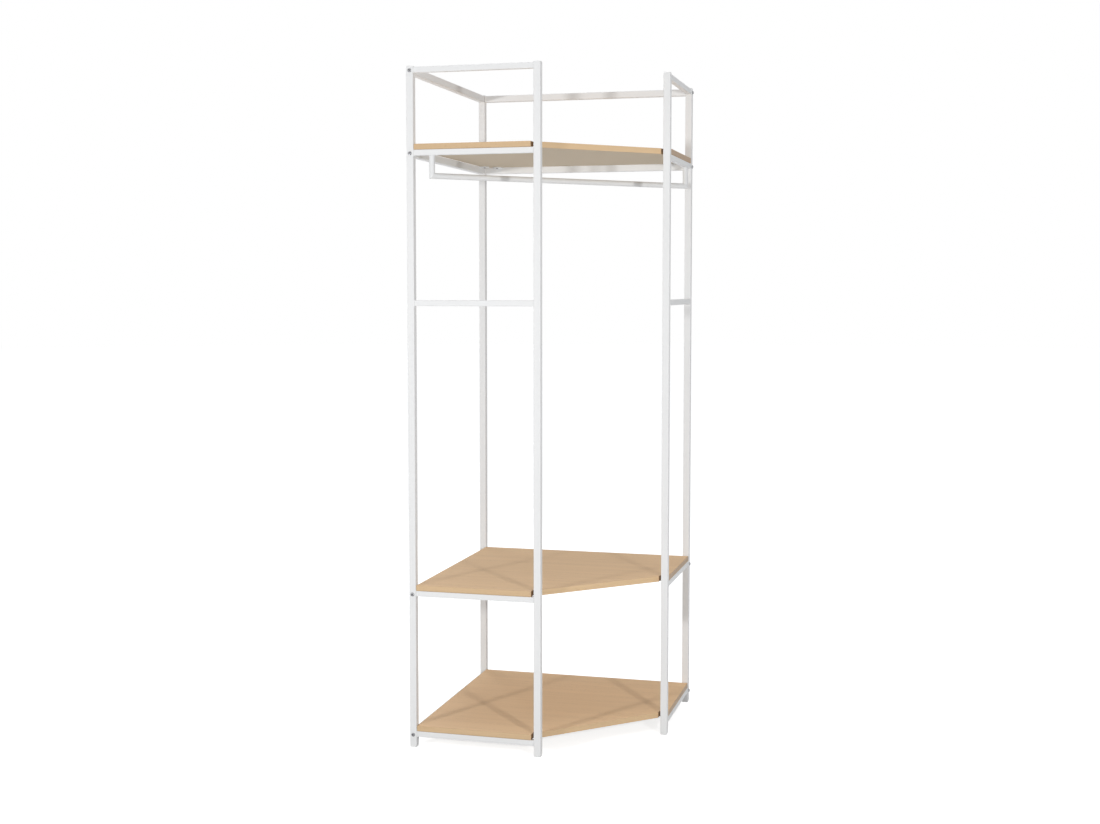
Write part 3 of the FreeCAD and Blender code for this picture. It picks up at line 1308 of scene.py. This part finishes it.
@dataclass
class Studio:
    """The floor, the white surroundings, the lamps and the camera."""

    sky: float = 0.342
    sky_colour: Colour = (0.965, 0.99, 1.03)
    floor_colour: Colour = (0.70, 0.70, 0.70)
    floor_lift: float = 0.775
    floor_radius: float = 30.0
    floor_steps: int = 96
    lamps: tuple[Softbox, ...] = (
        Softbox("right_softbox", (2.28, -2.85, 1.37), power=40.0, side=0.15),
        Softbox("left_softbox", (-2.05, -4.10, 1.42), power=69.0, side=0.20),
        Softbox("top_softbox", (0.0, -0.3, 5.0), power=44.0, side=3.0),
        Softbox("back_softbox", (-2.4, 2.4, 0.95), power=34.0, side=1.4),
        Softbox("side_softbox", (3.1, 0.2, 1.15), power=6.0, side=1.6),
    )
    sensor: float = 36.0
    picture_width: float = 1100.0
    focal_pixels: float = 1515.85
    shift_pixels: Pair = (5.4, -22.0)
    eye: Vector = field(default_factory=lambda: Vector((1119.74, -4298.5, 1293.17)) * MM)
    yaw: float = -0.2631
    pitch: float = 0.0673

    @staticmethod
    def seen(recipe: Recipe) -> Wire:
        """Whether a ray shows the surroundings: from the camera, in gloss or through glass.

        Args:
            recipe: The tree to add to.

        Returns:
            One for such rays, else zero.
        """
        camera, gloss, glass = (recipe.add("ShaderNodeLightPath", output=f"Is {kind} Ray")
                                for kind in ("Camera", "Glossy", "Transmission"))
        return camera.at_least(gloss).at_least(glass)

    def surroundings(self) -> None:
        """A world that lights evenly and shows white."""
        world = bpy.data.worlds.new("studio")
        world.use_nodes = True
        bpy.context.scene.world = world
        recipe = Recipe(world.node_tree)
        light = recipe.add("ShaderNodeBackground", {}, {"Color": self.sky_colour, "Strength": self.sky})
        white = recipe.add("ShaderNodeBackground", {}, {"Color": WHITE, "Strength": 1.0})
        recipe.show(recipe.add("ShaderNodeMixShader", {}, {0: self.seen(recipe), 1: light, 2: white}),
                    "ShaderNodeOutputWorld")

    def floor(self) -> None:
        """A pale floor that shows white and keeps the shadow of the rack."""
        work = bmesh.new()
        bmesh.ops.create_circle(work, cap_ends=True, radius=self.floor_radius, segments=self.floor_steps)
        mesh = bpy.data.meshes.new("floor")
        work.to_mesh(mesh)
        work.free()
        skin = bpy.data.materials.new("floor")
        skin.use_nodes = True
        recipe = Recipe(skin.node_tree)
        plain = recipe.add("ShaderNodeBsdfDiffuse", {}, {"Color": self.floor_colour})
        glow = recipe.add("ShaderNodeEmission", {}, {"Color": WHITE, "Strength": self.floor_lift})
        lifted = recipe.add("ShaderNodeAddShader", {}, {0: plain, 1: glow})
        recipe.show(recipe.add("ShaderNodeMixShader", {}, {0: self.seen(recipe), 1: plain, 2: lifted}))
        mesh.materials.append(skin)
        made = bpy.data.objects.new("floor", mesh)
        bpy.context.scene.collection.objects.link(made)

    def camera(self) -> None:
        """The camera at the photograph's place."""
        lens = bpy.data.cameras.new("camera")
        lens.sensor_fit = "HORIZONTAL"
        lens.sensor_width = self.sensor
        lens.lens = self.focal_pixels * self.sensor / self.picture_width
        lens.shift_x, lens.shift_y = (shift / self.picture_width for shift in self.shift_pixels)
        reach = math.cos(self.pitch)
        ahead = Vector((math.sin(self.yaw) * reach, math.cos(self.yaw) * reach, -math.sin(self.pitch)))
        right = Vector((math.cos(self.yaw), -math.sin(self.yaw), 0.0))
        turn = Matrix((right, right.cross(ahead), -ahead)).transposed()
        made = bpy.data.objects.new("camera", lens)
        made.matrix_world = Matrix.Translation(self.eye) @ turn.to_4x4()
        bpy.context.scene.collection.objects.link(made)
        bpy.context.scene.camera = made

    def build(self) -> None:
        """Set the studio up."""
        bpy.context.scene.view_settings.view_transform = "Standard"
        self.surroundings()
        self.floor()
        for lamp in self.lamps:
            lamp.build()
        self.camera()


FINISHES = (
    PowderCoat(Slot.COAT, (0.835, 0.835, 0.83)),
    MouldedPlastic(Slot.PLASTIC, (0.82, 0.82, 0.81)),
    OakBoard(Slot.BOARD, (0.89, 0.615, 0.368)),
    OakEdging(Slot.EDGING, (0.70, 0.50, 0.302), late_wood=(0.615, 0.432, 0.256)),
    ZincPlate(Slot.ZINC, (0.30, 0.30, 0.31)),
    ZincPlate(Slot.PLUG, (0.60, 0.60, 0.62), roughness=0.45),
)


def main() -> None:
    """Build the studio and every sub-assembly of the rack."""
    logging.basicConfig(level=logging.INFO, format="%(message)s")
    Studio().build()
    palette = Palette(FINISHES)
    for name in ("left_outer", "left_front", "right_front", "right_outer", "corner"):
        Post(name, palette).build()
    for name in ("left", "right"):
        EndFrame(name, palette).build()
    WallSide("left", Y_AXIS, palette).build()
    WallSide("back", -X_AXIS, palette).build()
    for name in ("base", "lower", "upper"):
        Shelf(name, palette).build()
    HangingBar(palette).build()


if __name__ == "__main__":
    main()
